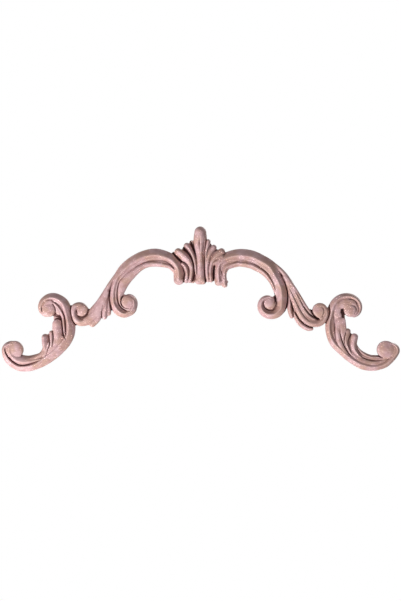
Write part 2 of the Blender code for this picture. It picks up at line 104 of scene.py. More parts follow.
leftArm = {
    "body": {"edge": 0.5, "path": [
        (178.8, 92.3, 5.2, 7), (178.8, 100, 5.6, 7.5), (176.3, 104.9, 6.1, 8), (170, 111, 7.6, 8.5),
        (158, 114.3, 8.9, 9), (148, 113.7, 8.8, 9), (137, 109.3, 8.5, 9), (127, 101.1, 8.7, 9),
        (120.9, 92.5, 8.0, 8.8), (116.8, 80.8, 7.5, 8),
        *spiral((129.3, 69.0), (13.8, 6.4), (180, 330), (5.7, 2.0), (7.5, 7.5), 1.1)]},
    "outerBead": {"ridge": 0.08, "crown": 1.2, "bulge": 0.85, "path": [
        (178.8, 92.5, 5.0, 9.6), (178.9, 100, 5.2, 10.4), (176.8, 106.2, 5.5, 11),
        (170.5, 112.8, 5.7, 11), (158, 117, 6.2, 11), (148, 116.4, 6.0, 11),
        (136.2, 111.9, 5.8, 11), (124.8, 103.3, 5.3, 10.8), (117, 94, 4.2, 10.4),
        (113.8, 84.5, 3.9, 10.2), (112.9, 77, 3.6, 10), (113.4, 69, 3.7, 10),
        (116.1, 63.4, 4.4, 10), (119.9, 59.6, 4.1, 10), (124.7, 57.9, 3.7, 9.9),
        (129, 59.5, 3.5, 9.8), (132.3, 62.4, 3.4, 9.8), (134.1, 66.4, 3.3, 9.8),
        (134, 70.8, 3.2, 9.8), (131.6, 74.2, 3.1, 9.6), (128, 75.4, 2.6, 9.4),
        (125, 73.4, 1.8, 9)]},
    "innerBead": {"edge": 0.7, "path": [
        (173.4, 102.5, 1.0, 8.4), (168, 106, 2.1, 9.2), (158, 108, 2.7, 9.8),
        (148, 107.6, 2.8, 9.8), (140, 104, 3.0, 9.8), (130.8, 97.2, 4.6, 10),
        (124.6, 90.3, 5.0, 10), (121.4, 82, 3.8, 10), (119.9, 75, 2.2, 9.6), (119.9, 70, 1.2, 8.8),
        (120.8, 66.6, 0.7, 7.5)]},
    "eye": boss(127.5, 70.2, 6.2, 10.6, edge=0.82),
    "eyeFloor": floorOf((124.6, 74, 3.6, 6.6), (124.6, 66.6, 3.6, 6.6)),
    "eyeBed": floorOf((129, 67, 5.8, 8.6), (129.4, 71.4, 5.8, 8.6)),
    "foot": {"edge": 0.7, "crown": 2.4, "path": [(177, 91, 2.9, 7.8), (181, 91, 2.9, 7.8)]},
}

rightArm = {
    "body": {"edge": 0.5, "path": [
        (180.3, 92.8, 6.3, 7), (180.8, 99, 6.1, 7.5), (179.5, 106.5, 7.3, 8),
        (171.7, 111.9, 8.6, 8.5), (161, 114.3, 8.8, 9), (150.2, 112.8, 9.0, 9),
        (140.5, 108.8, 8.5, 9), (131, 102.3, 8.6, 9), (126.2, 94.2, 6.9, 9), (121.7, 85, 6.8, 8.6),
        (119.4, 77, 6.6, 8.2),
        *spiral((131.5, 67.5), (12.1, 6.4), (185, 490), (5.6, 1.2), (8, 7), 0.9)]},
    "outerBead": {"ridge": 0.15, "crown": 1.2, "bulge": 0.85, "path": [
        (182.6, 89.8, 3.6, 9.6), (183.2, 98, 3.4, 10.4), (183, 104, 3.6, 10.6),
        (181, 109.5, 4.4, 10.6), (175.5, 114, 5.1, 10.8), (168, 116.3, 5.7, 11),
        (161, 117.1, 5.9, 11), (150.5, 115.9, 6.2, 11), (140.8, 111.8, 6.2, 11),
        (131.5, 105.8, 6.2, 11), (126, 97, 5.4, 11), (121.5, 88.5, 5.5, 11), (119, 80.5, 5.6, 10.8),
        *spiral((131.5, 67.5), (12.6, 6.6), (185, 490), (5.1, 1.4), (10.6, 9), 0.9)]},
    "innerBead": {"edge": 0.55, "path": [
        (176.3, 87.2, 2.9, 9.2), (176.9, 94, 2.5, 9.6), (176.5, 100, 2.6, 9.8), (174, 105, 3.1, 10),
        (168, 107.6, 3.1, 9.8), (161, 108.4, 2.9, 9.6), (150.5, 106.7, 3.1, 9.6),
        (144.2, 103.8, 3.0, 9.6), (137.8, 99.8, 2.6, 9.6), (132.4, 93.8, 2.0, 9.2),
        (128.4, 87.4, 1.6, 8.6), (126.4, 82, 1.2, 7.4)]},
    "nub": boss(174.3, 90.3, 1.7, 7.2),
    "eye": boss(131.2, 68.4, 5.7, 10.4, edge=0.76),
    "slitFloor": floorOf((126.2, 75.2, 1.4, 5), (126.6, 69, 2.4, 5), (131, 62, 3, 5)),
    "eyeFloor": floorOf((132, 70, 6, 6.4), (133, 66, 6, 6.4)),
    "foot": {"edge": 0.7, "crown": 2.4, "path": [(179.4, 89.6, 2.6, 8), (183, 89.2, 2.6, 8)]},
}

leftSmallScroll = {
    "body": {"edge": 0.45, "crown": 1.8, "bulge": 0.6, "path": [
        (115.2, 97, 1.3, 6.4), (112.6, 92.4, 1.9, 7.4), (109.8, 87.4, 2.4, 8.4),
        (106.9, 82.3, 2.7, 9.2), (104, 75.5, 3.9, 9.8), (100.8, 67.5, 5.8, 10),
        (96.6, 60.2, 7.2, 10), (91.2, 54.2, 6.4, 9.8), (85.5, 50.4, 4.2, 9.4), (80, 49.6, 3.7, 9.2),
        *spiral((80.0, 60.5), (9.6, 6.2), (245, 20), (3.6, 2.0), (9.2, 8), 0.7)]},
    "softRidge": {"edge": 0.9, "path": [
        (107.6, 80, 1.4, 9.4), (104.5, 73, 2.6, 10.5), (100, 64.5, 3.2, 10.8),
        (94.5, 57, 3.2, 10.6), (86, 51.4, 2.8, 10)]},
    "longLobe": {"edge": 0.74, "path": [
        (102, 63, 2.4, 9.4), (97.6, 53.8, 3.2, 9.6), (92.3, 47.9, 3.1, 8.8)]},
    "shortLobe": {"edge": 0.66, "path": [
        (106.8, 72, 1.4, 8.8), (105.4, 64, 2.5, 9.6), (104.2, 55.3, 2.8, 9.2)]},
    "sideLeaf": {"edge": 0.7, "path": [
        (109.3, 76, 1.0, 6.6), (108.9, 67, 2.4, 7.4), (107.8, 58.8, 3.0, 7)]},
    "rimBead": {"edge": 0.7, "crown": 1.8, "path": [
        (85, 50.6, 2.6, 9.6), (79.2, 50.2, 3.0, 10.2), (74.8, 54.2, 3.0, 10.4),
        (73.6, 60, 2.4, 10.2), (75.6, 65.2, 2.2, 9.6), (80, 66.6, 2.0, 8.8)]},
    "eye": boss(82.2, 61.6, 6.2, 10.2, edge=0.74),
    "eyeFloor": floorOf((81.5, 60.6, 6.8, 7), (83, 59, 6.5, 6.4)),
    "armFloor": floorOf((109.6, 86, 1.2, 4.5), (109.6, 74, 2.2, 4.5), (109.6, 64, 3, 4.5)),
    "mouthFloor": floorOf((87, 61, 2.4, 4.5), (91.5, 60, 3, 4.5)),
    "endFloor": floorOf((71.5, 65, 1.8, 4.5), (71.8, 55, 1.8, 4.5), (75, 47.8, 1.6, 4.5)),
}

rightSmallScroll = {
    "body": {"edge": 0.45, "crown": 1.8, "bulge": 0.6, "path": [
        (116.2, 95.4, 2.6, 8.4), (112.9, 90.2, 3.5, 9), (109.2, 82.7, 4.6, 9.4),
        (105.8, 74, 5.7, 9.6), (101.2, 65, 6.5, 9.6), (96, 57.6, 6.8, 9.4), (90.5, 51.6, 5.2, 9.2),
        (82.7, 48.9, 3.8, 9), (76.8, 52.5, 2.8, 8.6), (73.8, 60, 1.6, 8.2), (74.6, 63.4, 1.3, 8)]},
    "mainStrand": {"edge": 0.78, "path": [
        (113.2, 86, 0.8, 8.4), (109.6, 77, 1.9, 9.8), (106, 69.6, 2.3, 10.4),
        (103.2, 62.6, 2.6, 10.6), (99.6, 56, 3.0, 10.6), (95, 51, 3.2, 10.6), (89, 48.3, 3.1, 10.4),
        (83, 48.3, 3.1, 10), (77.6, 51.4, 2.4, 9.8), (74.6, 56.4, 2.0, 9.6), (74.6, 61.4, 1.8, 9.4),
        (76.6, 65, 1.6, 9)]},
    "middleStrand": {"edge": 0.84, "path": [
        (110.8, 89, 0.9, 8.8), (107.6, 82.4, 1.5, 9.8), (105, 77, 1.9, 10.2),
        (100.6, 68.4, 2.1, 10.4), (96.8, 61.5, 2.0, 10.2), (92, 55.5, 1.8, 9.8),
        (86.5, 52.3, 1.3, 9.2)]},
    "armRoot": {"edge": 0.62, "ridge": 0.1, "crown": 2.0, "path": [
        (127, 108.8, 1.3, 5.6), (121.9, 103.6, 2.1, 6.8), (116.7, 98, 2.4, 7.9),
        (112.8, 91.8, 2.9, 8.7), (109.8, 87.5, 2.6, 8.8), (106.6, 82.2, 2.2, 8.6)]},
    "upperStrand": {"edge": 0.84, "path": [
        (114.8, 95.4, 1.2, 8.4), (111.2, 89.7, 1.9, 9.3), (107.1, 83.7, 2.2, 10),
        (101.2, 74.2, 2.2, 9.6), (96.8, 67.2, 2.0, 9.2), (92.8, 61.5, 1.8, 8.6),
        (88.8, 57, 1.3, 8)]},
    "lowerStrand": {"edge": 0.5, "path": [
        (107.2, 63, 0.7, 6.4), (105.9, 56.8, 1.6, 8.2), (102.5, 50.5, 2.2, 8.8),
        (98, 46.2, 2.4, 8.8), (93, 43.5, 2.4, 8.6), (89.3, 43.2, 1.9, 8)]},
    "sideLeaf": {"edge": 0.5, "path": [
        (111, 76, 0.8, 7.4), (111.2, 69, 1.5, 8.4), (111.2, 63, 2.2, 8.8), (110, 58, 2.2, 8.6),
        (109.2, 55.3, 1.9, 8.2)]},
    "eye": boss(80.9, 61.6, 7.5, 10.2, edge=0.74),
    "leafFloor": floorOf((111.5, 84, 1.4, 5), (111.4, 68, 3.4, 5), (107.5, 58, 3.2, 5)),
    "lowerFloor": floorOf((106, 58, 3, 5), (99, 49.5, 3, 5), (90.5, 46, 2.4, 5)),
    "mouthFloor": floorOf(
        (82.4, 54.4, 3, 4.5), (87, 56, 3, 4.5), (91, 60.6, 2.4, 4.5), (93, 62, 1.4, 4.5)),
    "endFloor": floorOf((72, 63.6, 1.6, 4.5), (72.6, 56, 1.8, 4.5), (75.4, 50.4, 1.4, 4.5)),
    "eyeBed": floorOf((79.2, 54.8, 2.8, 8.8), (76.8, 58.4, 2.4, 8.8), (76.4, 61.4, 1.8, 8.6)),
}

leftEndScroll = {
    "band": {"edge": 0.5, "path": [
        (42.8, 68.8, 3.2, 7.4), (45.6, 72.6, 3.8, 7.5), (50, 74.2, 4.6, 7.8), (55.5, 73.2, 5.5, 8),
        (62.5, 68, 6.2, 8), (66, 61, 4.8, 8), (68.2, 54, 4.5, 8), (69, 46, 6.0, 8),
        (68.8, 38, 5.5, 8), (65.5, 32, 6.2, 8.2), (61, 27.4, 7.0, 8.4), (54, 20.7, 6.9, 8.4),
        (46.5, 15, 6.9, 8.4), (38.3, 11, 7.3, 8.2), (28, 8.4, 7.9, 8), (18.5, 9.8, 8.1, 8),
        (13, 14, 8.0, 7.6)]},
    "outerBead": {"ridge": -0.38, "crown": 1.3, "bulge": 0.8, "path": [
        *spiral((48.8, 61.9), (6.4, 18.2), (240, 0), (1.4, 4.8), (8.6, 10.6), 1.25),
        (68.5, 54, 3.7, 10.8), (70.2, 46, 4.8, 11), (69.6, 38, 4.8, 11), (66.8, 32.5, 5.1, 10.8),
        (62, 26.2, 5.4, 10.6), (54.5, 18.7, 5.2, 10.4), (46, 12.8, 5.1, 10.2), (38, 7.5, 4.2, 10),
        (30, 4.6, 3.8, 9.8), (22, 3.9, 3.5, 9.6), (17.4, 4.6, 3.1, 9.5), (10.7, 8.6, 3.1, 9.4),
        (6.8, 13, 3.0, 9.4), (4.7, 17.3, 2.7, 9.4), (3.6, 22, 2.2, 9.3), (4.4, 25, 2.1, 9.3),
        (6.6, 27.4, 2.1, 9.3), (10, 28.9, 2.1, 9.3), (13.4, 29.2, 1.8, 9.2)]},
    "backBead": {"edge": 0.55, "ridge": 0.3, "path": [
        (53.8, 68.6, 1.4, 9), (57.2, 64.8, 2.9, 9.4), (60, 60.8, 2.7, 9.4), (62.4, 56.2, 1.6, 9.2),
        (63.3, 51, 1.2, 9.2), (64, 44, 1.1, 9.4), (64.4, 37.5, 0.9, 9)]},
    "leaf": {"edge": 0.66, "path": [
        (57, 48, 4.7, 9.4), (57.2, 40, 5.0, 10.2), (57.4, 33, 4.6, 9.9), (56.6, 27, 4.0, 9.2),
        (55, 22, 3.0, 8.4)]},
    "lobeBody": {"edge": 0.88, "crown": 2.2, "path": [
        (59, 31, 6.2, 9.4), (53.4, 25, 6.6, 9.8), (48.4, 20.4, 4.8, 9.6), (44.6, 17.2, 2.6, 9)]},
    "tallLobe": {"edge": 0.72, "path": [
        (51.2, 39.4, 2.1, 9.6), (51.6, 33, 2.2, 10.2), (51.4, 26, 2.0, 10.2),
        (49.5, 18.5, 1.5, 8.6)]},
    "broadLobe": {"edge": 0.5, "ridge": -0.45, "path": [
        (45, 34.6, 3.5, 9.4), (45.5, 29, 3.7, 10.2), (45.9, 23, 3.0, 9.8), (44.6, 18.6, 1.8, 8)]},
    "tailBead": {"edge": 0.4, "ridge": 0.42, "path": [
        (41, 13.4, 1.4, 9.2), (36, 12.6, 2.8, 9.8), (30, 11.9, 4.0, 10.2), (24, 11.6, 4.5, 10.4),
        (17.5, 13.2, 4.5, 10.4), (12.5, 17.5, 4.4, 10.2), (11, 23, 4.4, 10),
        (13.4, 26.4, 4.4, 9.6)]},
    "eye": boss(48.6, 62.0, 6.9, 9.9, edge=0.74),
    "web": {"edge": 0.9, "crown": 2.2, "path": [
        (43.4, 65.6, 2.2, 8.9), (46.6, 68.4, 2.8, 9), (50.4, 69.4, 2.4, 8.9)]},
    "tailEye": boss(14.2, 22.2, 8.9, 10, edge=0.7),
    "eyeFloor": floorOf((48, 63.4, 7.0, 7.2), (48.6, 64.4, 7.0, 7.2)),
    "hollowFloor": floorOf((57.5, 61, 4.2, 2.2), (58, 52, 4.6, 2.2), (60, 40, 3.8, 5)),
    "lobeFloor": floorOf((49, 36, 2.4, 5), (50, 24, 4.8, 6)),
    "tailSlope": {"edge": 0.62, "crown": 1.8, "path": [
        (44.4, 24.6, 1.7, 8.6), (43, 19.4, 2.6, 9.2), (39.4, 15.8, 2.9, 9.4), (34, 13.4, 2.9, 9.2),
        (28.6, 12.4, 2.4, 9)]},
    "backFacet": {"edge": 0.85, "path": [
        (55.6, 66.2, 1.5, 8.8), (57.6, 62.8, 2.5, 9.1), (59, 60.2, 3.0, 9.1)]},
}

rightEndScroll = {
    "band": {"edge": 0.5, "path": [
        (54, 73.8, 5.2, 8), (62, 70, 5.6, 8), (67.2, 62, 4.6, 8), (69.8, 53, 4.5, 8),
        (69.8, 45, 5.7, 8), (68, 37, 5.9, 8), (62.5, 28.5, 6.8, 8.2), (54.5, 22, 7.8, 8.2),
        (47, 15.8, 7.4, 8.4), (38.5, 10.6, 7.8, 8.4), (30, 8.4, 7.4, 8.2), (22, 9.2, 7.0, 8),
        (16.4, 12.8, 6.2, 7.6)]},
    "outerBead": {"ridge": 0.1, "crown": 1.25, "bulge": 0.8, "path": [
        *spiral((50.7, 61.5), (6.8, 17.6), (236, 5), (1.5, 4.7), (8.4, 10.6), 1.0),
        (69.6, 57, 3.8, 10.6), (71.4, 50.5, 3.5, 10.6), (71.6, 42, 3.5, 10.6),
        (69.8, 34.2, 3.6, 10.6), (65.7, 27.6, 4.1, 10.4), (58.9, 21.5, 4.3, 10.2),
        (51.9, 14.9, 4.1, 10), (44, 9.8, 4.2, 9.8), (36, 6.6, 4.7, 9.6), (28, 5.3, 4.3, 9.5),
        (22, 6.1, 4.1, 9.5), (16, 8, 3.9, 9.5), (10.2, 12.2, 3.4, 9.5), (5.8, 17, 3.0, 9.4),
        (3.8, 21.4, 3.0, 9.4), (4.9, 25.2, 2.5, 9.4), (7.6, 27.4, 1.9, 9.3), (10.6, 28.6, 1.3, 9)]},
    "outerLeaf": {"edge": 0.84, "ridge": 0.3, "path": [
        (63.2, 50.4, 1.4, 8.6), (63.2, 46, 2.0, 9.4), (63, 40, 2.8, 10), (61, 30, 3.0, 10.4),
        (57.4, 23, 2.5, 10.2), (53, 16.5, 1.6, 8.8)]},
    "tallLobe": {"edge": 0.66, "path": [
        (53.2, 40.8, 2.9, 9.2), (54.2, 34, 2.7, 9.2), (54, 27, 2.2, 9.4), (51.3, 20, 1.9, 9.2),
        (46.5, 14, 1.4, 8)]},
    "broadLobe": {"edge": 0.6, "path": [
        (46.3, 35.2, 3.5, 9.6), (47.4, 29, 3.4, 10.2), (47, 23, 3.0, 10.2), (43, 17.5, 2.2, 9.6),
        (38, 14, 1.4, 8.2)]},
    "rimBead": {"edge": 0.45, "path": [
        (43.2, 24, 1.3, 7.6), (39, 19.3, 1.5, 8), (33, 15.8, 1.5, 8), (27, 14.4, 1.4, 8),
        (22, 14.8, 1.2, 8)]},
    "eye": boss(50.0, 62.2, 7.2, 10.2, edge=0.74),
    "tailEye": boss(14.8, 22.2, 9.0, 10, edge=0.7),
    "tailEyeCentre": boss(15.4, 22.4, 4.4, 10.5, edge=0.88),
    "eyeFloor": floorOf((49, 62.5, 7.2, 7.4), (50, 63, 7.2, 7.4)),
    "leaf": {"edge": 0.87, "crown": 2.2, "path": [
        (59.9, 49.2, 4.7, 9.6), (59.2, 43, 4.6, 10), (57.8, 39, 4.0, 10), (56.6, 32, 3.2, 9.8),
        (55, 25.6, 2.0, 9.4)]},
    "leafTop": {"edge": 0.87, "crown": 2.2, "path": [
        (61.2, 51.4, 2.8, 9.4), (58.2, 51.4, 2.8, 9.4)]},
    "leafSlope": floorOf(
        (65.2, 57, 2.4, 7), (65.8, 50, 2.4, 7), (65.8, 45, 2.4, 7), (65.6, 38, 2.4, 7)),
    "web": {"edge": 0.86, "crown": 2.2, "path": [
        (61.6, 66.4, 3.4, 9), (56, 68, 4.6, 9.6), (50, 67, 5.2, 9.8)]},
    "hollowFloor": floorOf((57.6, 66, 4, 3), (60.5, 61, 4.4, 2.4), (60.5, 54, 4.8, 2.4)),
    "leafFloor": floorOf((60.5, 50, 4.5, 5), (59, 40, 4.8, 6)),
    "lobeFloor": floorOf((52.5, 36, 4, 5.5), (52, 26, 6.4, 6.5)),
    "tailFloor": floorOf(
        (47, 28, 2.6, 6), (43.5, 22.3, 2.4, 6), (38, 18, 2.4, 6), (31, 14.8, 2.6, 6),
        (23, 14.2, 2.4, 6)),
    "shoulder": {"edge": 0.86, "crown": 3.0, "path": [
        (63.6, 66, 4.2, 9), (64.2, 62, 3.9, 8.9), (64.2, 59, 3.6, 8.8), (63.2, 55.6, 3.8, 8.6),
        (64.6, 52, 2.6, 7)]},
    "tailBed": floorOf(
        (12, 17.2, 1.4, 8), (8.6, 18, 2.2, 8.6), (6.8, 22.4, 2.4, 8.6), (9.6, 27, 1.6, 8.4)),
}

crest = {
    "stalk": {"crown": 1.8, "bulge": 0.6, "path": [
        (200.6, 93.4, 5.3, 10.8), (200.5, 99, 4.8, 11.0), (200.3, 107, 4.5, 11.4),
        (200.3, 115, 4.6, 11.8), (200.2, 121, 5.4, 12.2), (200.1, 127, 6.2, 12.6),
        (200.2, 131.5, 6.7, 13.0), (200.3, 135.6, 6.6, 13.6), (200.4, 139.7, 6.0, 13.2)]},
    "stalkFoot": {"edge": 0.66, "crown": 2.0, "path": [(198.4, 91, 3.4, 9.4), (203, 91, 3.4, 9.4)]},
    "leftTop": {"crown": 2.0, "bulge": 0.65, "path": [
        (187.0, 126.0, 3.4, 10.6), (190.2, 121.6, 3.2, 11.2), (192.8, 116.2, 2.6, 11.4),
        (194.6, 110, 2.1, 11.2), (195.6, 103.5, 1.5, 10.8), (196.2, 97, 0.8, 10)]},
    "leftMiddle": {"crown": 2.0, "bulge": 0.65, "ridge": 0.15, "path": [
        (178.4, 120.0, 4.0, 10.2), (181.9, 117.4, 4.4, 10.8), (185.7, 113.8, 4.5, 11.4),
        (189.4, 109, 3.9, 11.6), (191, 104.4, 3.3, 11.4), (191.2, 100, 2.8, 11.2),
        (190.6, 95.4, 2.6, 10.8), (189.6, 91.6, 2.5, 10)]},
    "leftLow": {"crown": 2.0, "bulge": 0.65, "path": [
        (182.3, 108.2, 1.6, 9.8), (185.5, 104.4, 2.3, 10.6), (187, 98.5, 2.4, 10.6),
        (186.2, 91.6, 2.8, 9.8)]},
    "rightTop": {"edge": 0.6, "path": [
        (208.4, 130.7, 2.2, 11.2), (207.6, 126, 2.5, 11.6), (206.2, 119.5, 2.2, 11.6),
        (205.8, 111, 1.6, 11.2), (205.9, 102, 1.0, 10.6)]},
    "rightMiddle": {"edge": 0.6, "path": [
        (213.9, 124.6, 2.8, 11), (210.6, 119.5, 3.4, 11.6), (208, 112.5, 2.9, 11.8),
        (207.0, 104, 2.3, 11.4), (207.2, 97, 2.2, 11), (208, 92, 2.2, 10.2)]},
    "rightLow": {"edge": 0.6, "path": [
        (221.6, 120.4, 3.5, 10.6), (216.8, 116.4, 4.0, 11.2), (212.4, 110.5, 3.1, 11.4),
        (210.4, 103, 2.0, 11), (210.6, 95.5, 1.9, 10.8), (211, 91.5, 2.0, 10)]},
    "rightWeb": {"edge": 0.75, "crown": 2.5, "path": [
        (221, 113.5, 4.2, 10.0), (217.5, 112.5, 4.0, 10.2), (214.2, 109, 2.6, 10.0)]},
    "floorA": floorOf(
        (186, 93, 3.6, 3.6), (184, 107, 5, 3.6), (178.5, 114, 4, 3.6), (174.6, 117.4, 3.2, 3.6)),
    "floorB": floorOf((192.5, 92.2, 3.4, 3.6), (191, 108, 6, 3.6), (185.6, 122.4, 3.6, 3.6)),
    "floorC": floorOf((191.6, 129.6, 2.2, 5), (193, 124, 2.8, 4.5), (195.5, 112, 3.4, 4)),
    "floorD": floorOf((213.2, 94.4, 3.6, 4), (214, 106, 4, 4), (219, 114, 5, 5)),
    "floorE": floorOf((205, 94, 3.6, 4), (207, 112, 4, 6), (208.5, 126, 3.4, 6)),
    "floorF": floorOf((209, 95, 4.2, 5), (210.5, 116, 5, 6), (216, 118.5, 4.4, 6)),
}

# Lines cut after the carving is fused: (x, z, half width in squares, depth in mm).
crestCuts = {
    "stalkMiddle": [
        (199.5, 134.6, 1.1, 0.3), (199.4, 130, 1.4, 1.5), (199.5, 125.4, 1.3, 1.1),
        (199.8, 120, 1.0, 0.2)],
    "stalkRight": [
        (204, 132, 1.1, 0.4), (203.4, 125, 1.4, 1.3), (202.8, 117, 1.1, 0.7),
        (202.6, 110, 0.9, 0.2)],
    "leftOne": [
        (190.8, 130.4, 1.2, 2.0), (192.5, 124.2, 1.3, 3.0), (194.1, 119, 1.1, 2.6),
        (195.4, 114.4, 0.8, 1.0)],
    "leftTwo": [
        (182.4, 126, 1.9, 2.6), (187.4, 121.1, 1.9, 3.4), (191, 115.4, 1.6, 3.6),
        (193, 109.7, 1.4, 3.6), (193.8, 104.5, 1.2, 3.2), (193.6, 99.9, 1.1, 3.0),
        (192.7, 93.2, 1.2, 3.0)],
    "leftThree": [(173.2, 118.8, 1.4, 2.4), (177, 113.8, 1.4, 3.0), (179.9, 111, 1.0, 1.8)],
    "leftFour": [
        (182.5, 107.8, 0.7, 0.2), (183.4, 103.6, 1.0, 1.6), (184.8, 98.3, 1.3, 3.4),
        (183.9, 90.6, 1.2, 3.0)],
    "leftFive": [
        (181.2, 110.7, 0.8, 1.0), (184.8, 109.4, 0.9, 1.8), (188.2, 105.9, 0.9, 2.0),
        (189.3, 101, 0.9, 2.0), (188.5, 93, 0.8, 1.6)],
    "rightOne": [
        (206.4, 131, 1.0, 1.2), (205.3, 124, 1.1, 1.6), (204.7, 114, 1.2, 2.2),
        (204.8, 98.3, 1.3, 2.8), (205.8, 90.6, 1.5, 4.0)],
    "rightTwo": [(212, 129, 0.9, 1.2), (208.6, 124.2, 0.9, 1.2), (206.8, 118.2, 0.7, 0.7)],
    "rightThree": [
        (218.6, 123, 1.0, 1.2), (214, 120.6, 0.9, 1.0), (210.8, 115.4, 0.8, 0.7),
        (209.2, 107, 0.7, 0.6)],
    "rightSlot": [
        (215.4, 108.8, 0.8, 0.2), (214.4, 105.4, 1.1, 2.4), (213.6, 99, 1.3, 4.4),
        (213.4, 90.6, 1.2, 4.0)],
    "rightDimple": [
        (219.4, 113, 1.6, 0.4), (217.6, 112.2, 1.8, 1.0), (214.6, 110.6, 1.6, 0.6),
        (212, 108.6, 1.0, 0.2)],
}

leftCuts = {
    "armGroove": [
        (174.5, 103.5, 0.9, 0.6), (171.9, 106.1, 1.2, 1.0), (166.7, 110.2, 1.4, 1.2),
        (160, 111.6, 1.5, 1.2), (150, 111, 1.5, 1.2), (140, 107.6, 1.4, 0.9),
        (131, 101.4, 1.2, 0.3), (124, 95.4, 1.1, 0.4), (119.8, 90.6, 1.1, 1.2), (118, 85, 1.1, 1.8),
        (117.2, 78, 1.1, 2.0), (117.9, 71, 1.2, 2.0), (120.4, 65.4, 1.3, 1.8),
        (125, 61.8, 1.2, 1.4), (129, 61, 0.9, 0.6)],
    "armCrease": [
        (112, 89, 0.8, 0.3), (110.2, 83, 1.1, 1.4), (109.2, 76, 1.3, 2.4), (110.2, 67, 1.4, 3.0),
        (112.4, 58, 1.6, 3.6)],
    "eyeCrease": [
        (125.6, 77.6, 0.8, 0.5), (122.2, 75, 1.1, 1.8), (121, 70.4, 1.2, 2.4),
        (122.4, 66, 1.2, 2.2), (126, 63.8, 1.1, 1.2), (130, 63.8, 1.0, 0.4)],
    "lobeCrease": [(103.2, 66, 0.8, 0.6), (101.8, 59, 1.1, 2.0), (102, 52, 1.1, 2.4)],
    "eyeHollow": [
        (88.6, 63, 1.3, 2.2), (87.2, 58, 1.6, 3.4), (83.4, 55.4, 1.3, 2.6), (79.4, 55.6, 0.9, 1.2)],
    "eyeSpot": [(77.6, 63.4, 0.9, 0.4), (76.8, 60.8, 1.3, 2.4), (78, 57.6, 0.9, 0.6)],
    "endCrease": [
        (71.2, 66, 1.2, 3.0), (70.6, 60, 1.3, 3.4), (73, 51, 1.2, 3.0), (77.5, 46, 1.1, 2.2)],
    "bandGroove": [
        (53, 70.2, 0.9, 0.4), (57.6, 66.8, 1.0, 1.4), (61.8, 61, 1.0, 1.8), (64.6, 54.6, 0.9, 1.6),
        (65.7, 46, 0.9, 1.4), (65.8, 39, 0.9, 1.6), (65.2, 35.4, 1.1, 1.6)],
    "leafCrease": [
        (61.3, 51.6, 1.2, 1.6), (62, 45, 1.2, 2.6), (63.2, 39, 1.1, 2.4), (64.4, 35, 1.1, 2.0),
        (65.8, 33.4, 0.9, 0.8)],
    "lobeOne": [
        (49.2, 37, 0.9, 1.6), (50, 29, 1.1, 2.6), (48.4, 23.4, 0.9, 1.6), (46.2, 17, 0.8, 0.6)],
    "lobeTwo": [(53, 40, 0.9, 1.4), (53.4, 33, 1.0, 1.8), (52.6, 27, 0.9, 0.8)],
    "tailGroove": [
        (40, 11.6, 0.9, 0.3), (33.3, 9.4, 1.1, 1.4), (27.5, 7.4, 1.2, 2.2), (20.8, 6.9, 1.2, 2.4),
        (14.2, 9.6, 1.2, 2.2), (8.3, 15.2, 1.2, 2.0), (5.2, 21, 1.1, 1.4), (5.2, 26.4, 0.9, 0.3)],
    "eyeLine": [
        (53.4, 67.4, 0.8, 0.5), (55.3, 63.6, 1.0, 2.0), (55.2, 59.6, 1.0, 1.8),
        (53.6, 57, 0.9, 1.0)],
    "eyeLineLeft": [(44.4, 68.4, 1.2, 0.4), (42, 64.6, 1.4, 1.0), (42, 60, 1.2, 0.4)],
    "recess": [
        (55.4, 56, 0.8, 1.2), (57.6, 55.9, 1.2, 3.0), (59.8, 55.4, 1.2, 3.0), (61, 53.8, 0.9, 2.2)],
}

